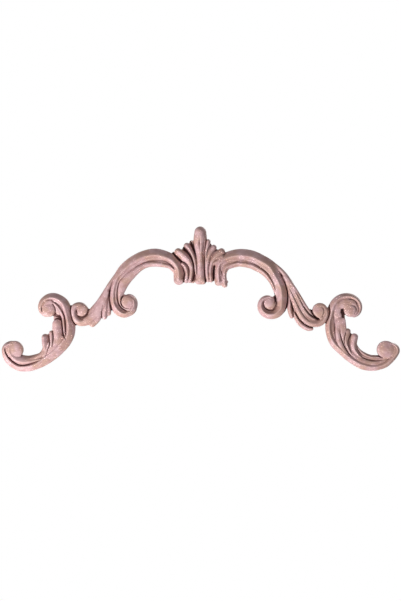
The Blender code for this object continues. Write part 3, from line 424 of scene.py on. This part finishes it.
rightCuts = {   # drawn from the right end
    "armGroove": [
        (172, 106.6, 0.9, 0.3), (161, 111.7, 1.8, 0.9), (152, 110.4, 1.8, 0.9),
        (144, 106.7, 1.8, 0.9), (133, 98, 1.6, 0.8), (128.4, 90.4, 1.3, 0.5), (126, 84, 1.0, 0.2)],
    "armCrease": [
        (121.8, 101.8, 0.8, 0.2), (117.9, 95.2, 1.1, 1.0), (114.6, 85, 1.2, 2.2),
        (113.3, 77.5, 1.2, 2.8), (113.7, 68.4, 1.3, 3.0), (116, 60, 1.4, 3.4)],
    "slit": [
        (126.2, 77.6, 1.0, 1.2), (125.9, 74.6, 1.3, 3.0), (126, 71.4, 1.2, 2.4),
        (126.8, 68.4, 1.0, 0.6)],
    "eyeRing": [
        (137.6, 69, 1.0, 0.6), (136.6, 65.4, 1.2, 1.6), (133.4, 62.4, 1.3, 2.4),
        (129.4, 61.8, 1.2, 1.6), (126, 63, 1.0, 0.4)],
    "footCrease": [(180.6, 105, 0.9, 0.3), (179, 99, 1.2, 1.2), (177.6, 94.6, 1.1, 1.2)],
    "creaseA": [
        (112.4, 77, 0.8, 0.8), (109.6, 68.4, 1.0, 1.8), (107, 61, 1.1, 2.2),
        (102.4, 53.8, 1.1, 2.4), (97, 48.6, 1.1, 2.6), (91.5, 45.4, 1.2, 2.8),
        (86.6, 44.4, 1.2, 2.8)],
    "creaseB": [(110.5, 82, 0.7, 0.4), (104, 68, 0.9, 0.8), (97, 56, 0.9, 0.7), (92, 51, 0.7, 0.4)],
    "creaseC": [
        (106, 82.4, 0.8, 0.2), (102, 74.4, 0.9, 0.7), (97.2, 65, 1.1, 1.6), (91.5, 57.6, 1.2, 2.2),
        (84.6, 53, 1.1, 2.2)],
    "eyeHollow": [
        (90.4, 65, 1.3, 2.0), (88.4, 58.4, 1.6, 3.2), (84.4, 54.4, 1.2, 2.4),
        (81.8, 53.4, 0.8, 0.4)],
    "eyeRingSmall": [
        (80, 65.4, 0.9, 0.3), (77.6, 63.4, 1.2, 0.8), (77, 60, 1.3, 1.2), (78.4, 56.6, 1.2, 0.8)],
    "endCrease": [(71.6, 66, 1.2, 3.0), (71.4, 58, 1.2, 3.0), (74.6, 50, 1.1, 2.6)],
    "bandGroove": [
        (67.4, 57, 0.9, 0.2), (66.6, 51, 1.1, 0.8), (66, 43, 1.2, 1.2), (65.4, 34, 1.0, 0.8)],
    "leafCrease": [
        (61.2, 46, 0.9, 0.3), (60.4, 36, 1.1, 1.8), (56.8, 25.8, 1.2, 2.4), (51.7, 18, 1.0, 1.6),
        (47.6, 15, 0.8, 0.3)],
    "lobeLeft": [(55.6, 38.6, 0.9, 1.4), (57, 31, 1.0, 1.8), (55, 24, 0.9, 1.2)],
    "lobeCrease": [
        (49.8, 38, 0.9, 1.8), (52.6, 32.4, 1.0, 2.2), (53, 27, 1.0, 2.0), (50.4, 20.7, 0.8, 1.0)],
    "tailGroove": [
        (45, 22, 0.9, 0.8), (41, 16.6, 1.1, 1.6), (36, 13.4, 1.3, 2.0), (28.3, 11.6, 1.5, 2.0),
        (21, 11.8, 1.3, 1.2), (16, 12.8, 0.9, 0.3)],
    "notch": [(27, 16.6, 0.8, 1.0), (22.4, 16, 1.3, 3.0), (19.6, 14.8, 1.0, 1.6)],
    "eyeLine": [
        (51.7, 67.3, 1.2, 0.4), (46.6, 66, 1.6, 1.2), (44.6, 62.6, 1.6, 1.4), (46, 59.6, 1.2, 0.6)],
}

carving = {
    "sectionSpacing": 0.0008,
    "spansAcross": 20,
    "depthBehind": 0.0012,      # the lofts run this far behind the back plane before it is cut
    "endCarry": 0.99,           # how far round its end a stroke runs; 1 would pinch it to a line
    "voxel": 0.0005,
    "smoothFactor": 0.5,
    "smoothPasses": 1,
    "lineSpacing": 0.0003,
    "lineSoftness": 1.4,        # 1 cuts a plain V, more rounds its shoulders
    "thinnest": 0.0012,         # no cut leaves less wood than this in front of the back plane
    "fullShade": 0.0032,        # a cut this deep gets full painted shade
    "softFacing": 2.5,          # how soon a slope counts as facing the viewer
    "sharpFacing": 5.0,
    "creaseReach": 8,           # blur steps: how wide a crease still counts as one
    "creaseDepth": 0.0005,      # metres below its surroundings at which a crease gets full painted shade
    "hollowReach": 60,
    "hollowDepth": 0.0018,
    "pocketTop": 0.007,         # an enclosed pocket gets painted shade from this height above the back
    "pocketFloor": 0.004,       # down to this one
    "pocketSharpness": 6.0,
    "cutTolerance": 1e-7,
    "keepTriangles": 218000,    # before the back is cut, which takes the lofts' backs away
}


def addNode(tree, kind, inputs=None, **settings):
    node = tree.nodes.new(kind)
    for name, value in settings.items():
        setattr(node, name, value)
    for key, value in (inputs or {}).items():
        if isinstance(value, bpy.types.NodeSocket):
            tree.links.new(value, node.inputs[key])
        else:
            node.inputs[key].default_value = value
    return node


def calc(tree, operation, *values):
    node = addNode(tree, "ShaderNodeMath", dict(enumerate(values)), operation=operation)
    return node.outputs[0]


def vectorCalc(tree, operation, *values):
    node = addNode(tree, "ShaderNodeVectorMath", dict(enumerate(values)), operation=operation)
    return node.outputs[0]


def zeroToOne(tree, value):
    return calc(tree, "MINIMUM", 1.0, calc(tree, "MAXIMUM", 0.0, value))


def stored(tree, name, dataType="FLOAT"):
    node = addNode(tree, "GeometryNodeInputNamedAttribute", {"Name": name}, data_type=dataType)
    return node.outputs["Attribute"]


def store(tree, geometry, name, value, dataType="FLOAT"):
    node = addNode(tree, "GeometryNodeStoreNamedAttribute",
                   {"Geometry": geometry, "Name": name, "Value": value},
                   data_type=dataType, domain="POINT")
    return node.outputs["Geometry"]


def pointPlace(tree):
    return addNode(tree, "GeometryNodeInputPosition").outputs["Position"]


def depthOf(tree, vector):   # y, which grows towards the back
    return addNode(tree, "ShaderNodeSeparateXYZ", {0: vector}).outputs["Y"]


def smoothCurve(tree, mesh, spacing):   # an even curve through the knots of each chain of edges
    curve = addNode(tree, "GeometryNodeMeshToCurve", {"Mesh": mesh}).outputs["Curve"]
    curve = addNode(tree, "GeometryNodeCurveSplineType", {"Curve": curve},
                    spline_type="CATMULL_ROM").outputs["Curve"]
    return addNode(tree, "GeometryNodeResampleCurve", {"Curve": curve, "Length": spacing},
                   mode="LENGTH").outputs["Curve"]


def newTree(name, inputs):
    tree = bpy.data.node_groups.new(name, "GeometryNodeTree")
    tree.interface.new_socket("Geometry", in_out="INPUT", socket_type="NodeSocketGeometry")
    for label, kind in inputs.items():
        tree.interface.new_socket(label, in_out="INPUT", socket_type="NodeSocket" + kind)
    tree.interface.new_socket("Geometry", in_out="OUTPUT", socket_type="NodeSocketGeometry")
    return tree, tree.nodes.new("NodeGroupInput").outputs


def endTree(tree, geometry, material):
    geometry = addNode(tree, "GeometryNodeRealizeInstances",
                       {"Geometry": geometry}).outputs["Geometry"]
    geometry = addNode(tree, "GeometryNodeSetMaterial",
                       {"Geometry": geometry, "Material": material}).outputs["Geometry"]
    addNode(tree, "NodeGroupOutput", {"Geometry": geometry})


def runTree(item, tree, values):
    modifier = item.modifiers.new(tree.name, "NODES")
    modifier.node_group = tree
    sockets = {s.name: s.identifier for s in tree.interface.items_tree if s.in_out == "INPUT"}
    for label, value in values.items():
        modifier[sockets[label]] = value
    bakeModifiers(item)


def bakeModifiers(item):
    depsgraph = bpy.context.evaluated_depsgraph_get()
    depsgraph.update()
    mesh = bpy.data.meshes.new_from_object(item.evaluated_get(depsgraph))
    item.modifiers.clear()
    old = item.data
    item.data = mesh
    bpy.data.meshes.remove(old)


def sweepTree():   # lofts each stroke's domed section along its path
    tree, given = newTree("sweepStrokes", {"Section Spacing": "Float", "Spans Across": "Int",
                                           "Depth Behind": "Float", "Wood": "Material"})
    curve = smoothCurve(tree, given["Geometry"], given["Section Spacing"])
    along = addNode(tree, "GeometryNodeInputTangent").outputs["Tangent"]
    side = vectorCalc(tree, "NORMALIZE", vectorCalc(tree, "CROSS_PRODUCT", along, (0.0, 1.0, 0.0)))
    place = addNode(tree, "GeometryNodeSplineParameter").outputs["Length"]
    whole = addNode(tree, "GeometryNodeSplineLength").outputs["Length"]
    fromEnd = calc(tree, "MINIMUM", place, calc(tree, "SUBTRACT", whole, place))
    over = calc(tree, "SUBTRACT", 1.0, calc(tree, "DIVIDE", fromEnd, stored(tree, "halfWidth")))
    over = calc(tree, "MAXIMUM", 0.0, calc(tree, "MINIMUM", carving["endCarry"], over))
    curve = store(tree, curve, "side", side, "FLOAT_VECTOR")
    curve = store(tree, curve, "over", over)   # 0 along the stroke, up to 1 round its ends
    curve = store(tree, curve, "centre", pointPlace(tree), "FLOAT_VECTOR")

    # A section has a row of spots across its top, and one more at each side, behind the back.
    # The ring's own size doesn't matter, because every spot is placed further down.
    across = given["Spans Across"]
    ring = addNode(tree, "GeometryNodeCurvePrimitiveCircle",
                   {"Resolution": calc(tree, "ADD", across, 3.0), "Radius": millimetre},
                   mode="RADIUS").outputs["Curve"]
    ring = store(tree, ring, "spot", addNode(tree, "GeometryNodeInputIndex").outputs["Index"])
    mesh = addNode(tree, "GeometryNodeCurveToMesh",
                   {"Curve": curve, "Profile Curve": ring, "Fill Caps": True}).outputs["Mesh"]

    spot, ridge, over = stored(tree, "spot"), stored(tree, "ridge"), stored(tree, "over")
    step = calc(tree, "MAXIMUM", 0.0, calc(tree, "SUBTRACT", spot, 1.0))
    step = calc(tree, "MINIMUM", across, step)
    turn = calc(tree, "MULTIPLY", math.pi, calc(tree, "DIVIDE", step, across))
    s = calc(tree, "MULTIPLY", -1.0, calc(tree, "COSINE", turn))   # -1 to 1 across the stroke
    fromRidge = calc(tree, "SUBTRACT", s, ridge)
    flank = calc(tree, "MULTIPLY", ridge, calc(tree, "SIGN", fromRidge))
    flank = calc(tree, "SUBTRACT", 1.0, flank)
    fromRidge = calc(tree, "DIVIDE", calc(tree, "ABSOLUTE", fromRidge), flank)
    overSquared = calc(tree, "MULTIPLY", over, over)
    chord = calc(tree, "SQRT", calc(tree, "SUBTRACT", 1.0, overSquared))
    r = calc(tree, "MULTIPLY", fromRidge, chord)
    r = calc(tree, "SQRT", calc(tree, "ADD", calc(tree, "MULTIPLY", r, r), overSquared))
    fall = calc(tree, "POWER", calc(tree, "MINIMUM", 1.0, r), stored(tree, "crown"))
    swell = calc(tree, "MAXIMUM", 0.0, calc(tree, "SUBTRACT", 1.0, fall))
    swell = calc(tree, "POWER", swell, stored(tree, "bulge"))
    edge = stored(tree, "edge")
    top = calc(tree, "MULTIPLY", calc(tree, "SUBTRACT", 1.0, edge), swell)
    top = calc(tree, "MULTIPLY", calc(tree, "ADD", edge, top), stored(tree, "height"))
    middle = calc(tree, "DIVIDE", calc(tree, "ADD", across, 2.0), 2.0)
    isBack = calc(tree, "GREATER_THAN",
                  calc(tree, "ABSOLUTE", calc(tree, "SUBTRACT", spot, middle)),
                  calc(tree, "SUBTRACT", middle, 0.5))
    depth = addNode(tree, "ShaderNodeMix",
                    {"Factor": isBack, "A": calc(tree, "MULTIPLY", -1.0, top),
                     "B": given["Depth Behind"]}, data_type="FLOAT").outputs["Result"]
    reach = calc(tree, "MULTIPLY", calc(tree, "MULTIPLY", s, chord), stored(tree, "halfWidth"))
    sideways = addNode(tree, "ShaderNodeVectorMath",
                       {0: stored(tree, "side", "FLOAT_VECTOR"), "Scale": reach},
                       operation="SCALE").outputs[0]
    out = addNode(tree, "ShaderNodeCombineXYZ", {"Y": depth}).outputs[0]
    position = vectorCalc(tree, "ADD", stored(tree, "centre", "FLOAT_VECTOR"),
                          vectorCalc(tree, "ADD", sideways, out))
    mesh = addNode(tree, "GeometryNodeSetPosition",
                   {"Geometry": mesh, "Position": position}).outputs["Geometry"]
    endTree(tree, mesh, given["Wood"])
    return tree


def facingOut(tree, sharpness):   # 1 where the surface faces the viewer, 0 on walls and the back
    normal = addNode(tree, "GeometryNodeInputNormal").outputs["Normal"]
    return zeroToOne(tree, calc(tree, "MULTIPLY", depthOf(tree, normal), -sharpness))


def cutTree():   # cuts lines into the fused carving, as deep and wide as each line says, and paints shade into them by their depth
    tree, given = newTree("cutLines", {"Lines": "Object", "Line Spacing": "Float",
                                       "Thinnest": "Float", "Full Shade": "Float",
                                       "Wood": "Material"})
    mesh = given["Geometry"]
    lines = addNode(tree, "GeometryNodeObjectInfo", {"Object": given["Lines"]}).outputs["Geometry"]
    lines = smoothCurve(tree, lines, given["Line Spacing"])
    lines = addNode(tree, "GeometryNodeCurveToMesh", {"Curve": lines}).outputs["Mesh"]
    position = pointPlace(tree)
    flat = vectorCalc(tree, "MULTIPLY", position, (1.0, 0.0, 1.0))
    nearest = addNode(tree, "GeometryNodeSampleNearest",
                      {"Geometry": lines, "Sample Position": flat}).outputs["Index"]

    def atLine(value, dataType="FLOAT"):
        return addNode(tree, "GeometryNodeSampleIndex",
                       {"Geometry": lines, "Value": value, "Index": nearest},
                       data_type=dataType).outputs["Value"]

    away = vectorCalc(tree, "SUBTRACT", flat, atLine(position, "FLOAT_VECTOR"))
    away = addNode(tree, "ShaderNodeVectorMath", {0: away}, operation="LENGTH").outputs["Value"]
    away = calc(tree, "DIVIDE", away, atLine(stored(tree, "halfWidth")))
    inside = calc(tree, "MAXIMUM", 0.0, calc(tree, "SUBTRACT", 1.0, away))
    soft = calc(tree, "POWER", inside, carving["lineSoftness"])
    soft = calc(tree, "MULTIPLY", soft, facingOut(tree, carving["softFacing"]))
    depth = calc(tree, "MULTIPLY", soft, atLine(stored(tree, "height")))
    y = depthOf(tree, position)
    lowest = calc(tree, "MAXIMUM", y, calc(tree, "MULTIPLY", -1.0, given["Thinnest"]))
    reach = calc(tree, "MINIMUM", lowest, calc(tree, "ADD", y, depth))
    reach = calc(tree, "SUBTRACT", reach, y)
    # painted shade: the deeper a cut, the darker it is painted
    mesh = store(tree, mesh, "stain", calc(tree, "DIVIDE", depth, given["Full Shade"]))
    offset = addNode(tree, "ShaderNodeCombineXYZ", {"Y": reach}).outputs[0]
    mesh = addNode(tree, "GeometryNodeSetPosition",
                   {"Geometry": mesh, "Offset": offset}).outputs["Geometry"]
    endTree(tree, mesh, given["Wood"])
    return tree


def shadeAndWearTree():   # paints shade into the creases, hollows and deep pockets, and marks the arrises pale, partly wear and partly painted highlight
    tree, given = newTree("paintShadeAndWear", {"Crease Reach": "Int", "Crease Depth": "Float",
                                       "Hollow Reach": "Int", "Hollow Depth": "Float",
                                       "Dark Above": "Float", "Dark Below": "Float",
                                       "Wood": "Material"})
    y = depthOf(tree, pointPlace(tree))

    def hollow(reach, deep):   # how far a point lies below its surroundings
        around = addNode(tree, "GeometryNodeBlurAttribute", {"Value": y, "Iterations": reach},
                         data_type="FLOAT").outputs["Value"]
        return calc(tree, "DIVIDE", calc(tree, "SUBTRACT", y, around), deep)

    # painted shade: points below their surroundings, or deep in a pocket near the back, are marked
    # dark where shade falls
    crease = hollow(given["Crease Reach"], given["Crease Depth"])
    wide = hollow(given["Hollow Reach"], given["Hollow Depth"])
    low = addNode(tree, "ShaderNodeMapRange", {"Value": y, "From Min": given["Dark Above"],
                                               "From Max": given["Dark Below"]}).outputs["Result"]
    enclosed = zeroToOne(tree, calc(tree, "MULTIPLY", wide, carving["pocketSharpness"]))
    cavity = calc(tree, "MAXIMUM", crease, wide)
    cavity = calc(tree, "MAXIMUM", cavity, calc(tree, "MULTIPLY", low, enclosed))
    cavity = calc(tree, "MAXIMUM", cavity, stored(tree, "stain"))
    cavity = calc(tree, "MULTIPLY", facingOut(tree, carving["sharpFacing"]), cavity)
    # pale arrises: partly wear, partly a painted highlight on edges standing above their
    # surroundings
    arris = calc(tree, "MULTIPLY", -1.0, facingOut(tree, carving["softFacing"]))
    mesh = store(tree, given["Geometry"], "cavity", cavity)
    mesh = store(tree, mesh, "arris", calc(tree, "MULTIPLY", arris, crease))
    endTree(tree, mesh, given["Wood"])
    return tree


def onBoard(x, z):
    originX, originZ = board["origin"]
    return Vector(((x - originX) * board["square"], 0.0, (z - originZ) * board["square"]))


def beyond(end, inner):   # the knot that a stroke's rounded end reaches, its half width further on
    away = Vector((end[0] - inner[0], end[1] - inner[1])).normalized() * end[2]
    return (end[0] + away.x, end[1] + away.y, end[2], end[3])


def strokeLines(name, groups):   # one object with a chain of edges for each stroke
    bm = bmesh.new()
    layers = {key: bm.verts.layers.float.new(key)
              for key in ("halfWidth", "height", *plainStroke)}
    for strokes, mirrored in groups:
        for stroke in strokes.values():
            shape = {key: stroke.get(key, usual) for key, usual in plainStroke.items()}
            if mirrored:
                shape["ridge"] *= -1
            path = stroke["path"]
            if len(path) == 1:
                x, z, halfWidth, height = path[0]
                path = [(x + side * halfWidth, z, halfWidth, height) for side in (-1, 0, 1)]
            else:
                path = [beyond(path[0], path[1]), *path, beyond(path[-1], path[-2])]
            before = None
            for x, z, halfWidth, height in path:
                vert = bm.verts.new(onBoard(board["mirrorX"] - x if mirrored else x, z))
                vert[layers["halfWidth"]] = halfWidth * board["square"]
                vert[layers["height"]] = height * millimetre
                for key, value in shape.items():
                    vert[layers[key]] = value
                if before:
                    bm.edges.new((before, vert))
                before = vert
    mesh = bpy.data.meshes.new(name)
    bm.to_mesh(mesh)
    bm.free()
    item = bpy.data.objects.new(name, mesh)
    bpy.context.scene.collection.objects.link(item)
    return item


def asStrokes(cuts):
    return {name: {"path": path} for name, path in cuts.items()}


def cutBack(item):   # the flat back, at y = 0
    bm = bmesh.new()
    bm.from_mesh(item.data)
    bmesh.ops.bisect_plane(bm, geom=bm.verts[:] + bm.edges[:] + bm.faces[:],
                           dist=carving["cutTolerance"], plane_co=(0, 0, 0),
                           plane_no=(0, 1, 0), clear_outer=True)
    rim = [edge for edge in bm.edges if edge.is_boundary]
    bmesh.ops.triangle_fill(bm, edges=rim, use_beauty=True, use_dissolve=False)
    for edge in rim:
        edge.smooth = False
    bmesh.ops.recalc_face_normals(bm, faces=bm.faces)
    low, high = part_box("applique")
    for vert in bm.verts:   # a tenth of a millimetre at the tips, to stay inside the CAD box
        vert.co = Vector([min(max(value, low[axis]), high[axis])
                          for axis, value in enumerate(vert.co)])
    bm.to_mesh(item.data)
    bm.free()


# Each pattern: spots per metre, how much of that runs along the carving (less draws it out), the
# noise's detail and roughness, and the noise values at which it starts and is full.
wood = {
    "pink": (0.60, 0.385, 0.395, 1.0),
    "tan": (0.48, 0.285, 0.225, 1.0),
    "rose": (0.37, 0.175, 0.175, 1.0),
    "pale": (0.76, 0.60, 0.60, 1.0),
    "shadeBrown": (0.09, 0.022, 0.020, 1.0),
    "patches": {"scale": 75.0, "stretch": 1.0, "detail": 3.0, "rough": 0.5, "span": (0.42, 0.58)},
    "mottle": {"scale": 190.0, "stretch": 0.6, "detail": 4.0, "rough": 0.6, "span": (0.40, 0.66)},
    "streaks": {"scale": 900.0, "stretch": 0.12, "detail": 3.0, "rough": 0.6, "span": (0.30, 0.75)},
    "mottleShare": 0.55,
    "streakShare": 0.22,
    "arrisSpan": (0.1, 0.9),
    "arrisShare": 0.5,
    "shadeSpan": (0.02, 0.85),
    "shadeShare": 0.94,
    "roughness": (0.42, 0.60),
    "grainStrength": 0.25,
    "grainDepth": 0.0004,
}


def woodMaterial():
    material = bpy.data.materials.new("pinkWood")
    material.use_nodes = True
    tree = material.node_tree
    shader = tree.nodes["Principled BSDF"]
    place = addNode(tree, "ShaderNodeTexCoord").outputs["Object"]

    def ramp(value, low, high):
        return addNode(tree, "ShaderNodeMapRange",
                       {"Value": value, "From Min": low, "From Max": high},
                       clamp=True).outputs["Result"]

    def pattern(made):
        spot = addNode(tree, "ShaderNodeMapping",
                       {"Vector": place, "Scale": (made["stretch"], 1.0, 1.0)}).outputs["Vector"]
        noise = addNode(tree, "ShaderNodeTexNoise",
                        {"Vector": spot, "Scale": made["scale"], "Detail": made["detail"],
                         "Roughness": made["rough"]}).outputs["Fac"]
        return ramp(noise, *made["span"])

    def blend(share, factor, under, over):
        return addNode(tree, "ShaderNodeMix",
                       {0: calc(tree, "MULTIPLY", factor, share), 6: under, 7: over},
                       data_type="RGBA").outputs[2]

    def surface(name):
        return addNode(tree, "ShaderNodeAttribute", attribute_name=name).outputs["Fac"]

    streaks = pattern(wood["streaks"])
    colour = blend(1.0, pattern(wood["patches"]), wood["pink"], wood["tan"])
    colour = blend(wood["mottleShare"], pattern(wood["mottle"]), colour, wood["rose"])
    colour = blend(wood["streakShare"], streaks, colour, wood["pale"])
    # pale arrises: partly wear, partly a painted highlight on the raised edges
    arris = ramp(surface("arris"), *wood["arrisSpan"])
    colour = blend(wood["arrisShare"], arris, colour, wood["pale"])
    # painted shade: dark brown blended in where creases, hollows, pockets and cuts are marked
    stain = ramp(surface("cavity"), *wood["shadeSpan"])
    colour = blend(wood["shadeShare"], stain, colour, wood["shadeBrown"])
    tree.links.new(colour, shader.inputs["Base Color"])
    smoothest, roughest = wood["roughness"]
    rough = addNode(tree, "ShaderNodeMapRange",
                    {"Value": streaks, "To Min": smoothest, "To Max": roughest}).outputs["Result"]
    tree.links.new(rough, shader.inputs["Roughness"])
    grain = addNode(tree, "ShaderNodeBump",
                    {"Strength": wood["grainStrength"], "Distance": wood["grainDepth"],
                     "Height": streaks}).outputs["Normal"]
    tree.links.new(grain, shader.inputs["Normal"])
    return material


print("sweeping the strokes")
material = woodMaterial()
applique = strokeLines("scrollCarving", [
    (leftArm, False), (rightArm, True), (leftSmallScroll, False), (rightSmallScroll, True),
    (leftEndScroll, False), (rightEndScroll, True), (crest, False)])
runTree(applique, sweepTree(), {
    "Section Spacing": carving["sectionSpacing"], "Spans Across": carving["spansAcross"],
    "Depth Behind": carving["depthBehind"], "Wood": material})
print("swept", len(applique.data.polygons))

fuse = applique.modifiers.new("fuse", "REMESH")
fuse.mode = "VOXEL"
fuse.voxel_size = carving["voxel"]
fuse.adaptivity = 0.0
soften = applique.modifiers.new("soften", "SMOOTH")
soften.factor = carving["smoothFactor"]
soften.iterations = carving["smoothPasses"]
bakeModifiers(applique)
print("fused", len(applique.data.polygons))

lines = strokeLines("lines", [
    (asStrokes(crestCuts), False), (asStrokes(leftCuts), False), (asStrokes(rightCuts), True)])
runTree(applique, cutTree(), {
    "Lines": lines, "Line Spacing": carving["lineSpacing"], "Thinnest": carving["thinnest"],
    "Full Shade": carving["fullShade"], "Wood": material})
bpy.data.objects.remove(lines, do_unlink=True)
runTree(applique, shadeAndWearTree(), {
    "Crease Reach": carving["creaseReach"], "Crease Depth": carving["creaseDepth"],
    "Hollow Reach": carving["hollowReach"], "Hollow Depth": carving["hollowDepth"],
    "Dark Above": -carving["pocketTop"], "Dark Below": -carving["pocketFloor"],
    "Wood": material})
print("lines cut and hollows marked")

thin = applique.modifiers.new("thin", "DECIMATE")
thin.ratio = carving["keepTriangles"] / (2 * len(applique.data.polygons))   # they are all quads
bakeModifiers(applique)
print("thinned", len(applique.data.polygons))

cutBack(applique)
applique.data.materials.clear()
applique.data.materials.append(material)
for polygon in applique.data.polygons:
    polygon.use_smooth = True
print("back cut", sum(len(polygon.vertices) - 2 for polygon in applique.data.polygons), "triangles")

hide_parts("applique")
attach(applique, "root")

stage = {
    "floorHeight": -1.10,
    "floorSize": 5.0,
    "floorColour": (0.86, 0.86, 0.86, 1.0),
    "floorRoughness": 0.9,
    "worldColour": (1.0, 1.0, 1.0, 1.0),
    "worldLight": 0.38,
    "worldShown": 1.0,                   # how bright the ground behind the carving looks
    "lightTarget": (0.0, 0.0, -0.045),   # the middle of the carving
}


def makeFloor():
    bm = bmesh.new()
    bmesh.ops.create_grid(bm, x_segments=1, y_segments=1, size=stage["floorSize"] / 2)
    for vert in bm.verts:
        vert.co.z = stage["floorHeight"]
    mesh = bpy.data.meshes.new("floor")
    bm.to_mesh(mesh)
    bm.free()
    floor = bpy.data.objects.new("floor", mesh)
    bpy.context.scene.collection.objects.link(floor)
    material = bpy.data.materials.new("paleFloor")
    material.use_nodes = True
    shader = material.node_tree.nodes["Principled BSDF"]
    shader.inputs["Base Color"].default_value = stage["floorColour"]
    shader.inputs["Roughness"].default_value = stage["floorRoughness"]
    mesh.materials.append(material)
    floor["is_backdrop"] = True


def makeWorld():
    world = bpy.data.worlds.new("studio")
    bpy.context.scene.world = world
    world.use_nodes = True
    tree = world.node_tree
    background = tree.nodes["Background"]
    path = addNode(tree, "ShaderNodeLightPath")
    strength = addNode(tree, "ShaderNodeMix",
                       {"Factor": path.outputs["Is Camera Ray"], "A": stage["worldLight"],
                        "B": stage["worldShown"]}, data_type="FLOAT").outputs["Result"]
    background.inputs["Color"].default_value = stage["worldColour"]
    tree.links.new(strength, background.inputs["Strength"])


lights = {
    "key": {"place": (-0.95, -0.95, -1.0), "size": 0.5, "watts": 39.0, "colour": (1.0, 0.97, 0.97)},
    "back": {"place": (0.8, 1.6, 0.8), "size": 1.2, "watts": 20.0, "colour": (1.0, 1.0, 1.0)},
}


def addLight(name, settings):
    light = bpy.data.lights.new(name, "AREA")
    light.shape = "DISK"
    light.size = settings["size"]
    light.energy = settings["watts"]
    light.color = settings["colour"]
    item = bpy.data.objects.new(name, light)
    item.location = settings["place"]
    towards = Vector(stage["lightTarget"]) - Vector(settings["place"])
    item.rotation_euler = towards.to_track_quat("-Z", "Y").to_euler()
    bpy.context.scene.collection.objects.link(item)


camera = {
    "lens": 85.0,
    "sensor": 36.0,
    "length": 0.500,         # this many metres in the plane of the carving
    "pixels": 400.0,         # are this many pixels of the picture
    "pictureHeight": 601.0,
    "middleRow": 300.5,
    "bottomRow": 372.0,      # where the board's lower edge lies in the picture
    "halfRelief": 0.006,     # that plane lies this far in front of the back
}


def makeCamera():
    lens = bpy.data.cameras.new("camera")
    lens.lens = camera["lens"]
    lens.sensor_width = camera["sensor"]
    eye = bpy.data.objects.new("camera", lens)
    bpy.context.scene.collection.objects.link(eye)
    metresPerPixel = camera["length"] / camera["pixels"]
    distance = camera["lens"] * metresPerPixel * camera["pictureHeight"] / camera["sensor"]
    height = (camera["bottomRow"] - camera["middleRow"] - board["origin"][1]) * board["square"]
    eye.location = (0.0, -distance - camera["halfRelief"], height)
    eye.rotation_euler = (math.radians(90.0), 0.0, 0.0)   # level, looking along +Y
    bpy.context.scene.camera = eye


makeFloor()
makeWorld()
for name, settings in lights.items():
    addLight(name, settings)
makeCamera()
bpy.context.scene.view_settings.view_transform = "Standard"
print("stage, lights and camera set")

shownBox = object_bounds()
for title, corners in (("solids", cadBox), ("carving", shownBox)):
    print(title, "mm", [tuple(round(value * 1000, 2) for value in corner) for corner in corners])
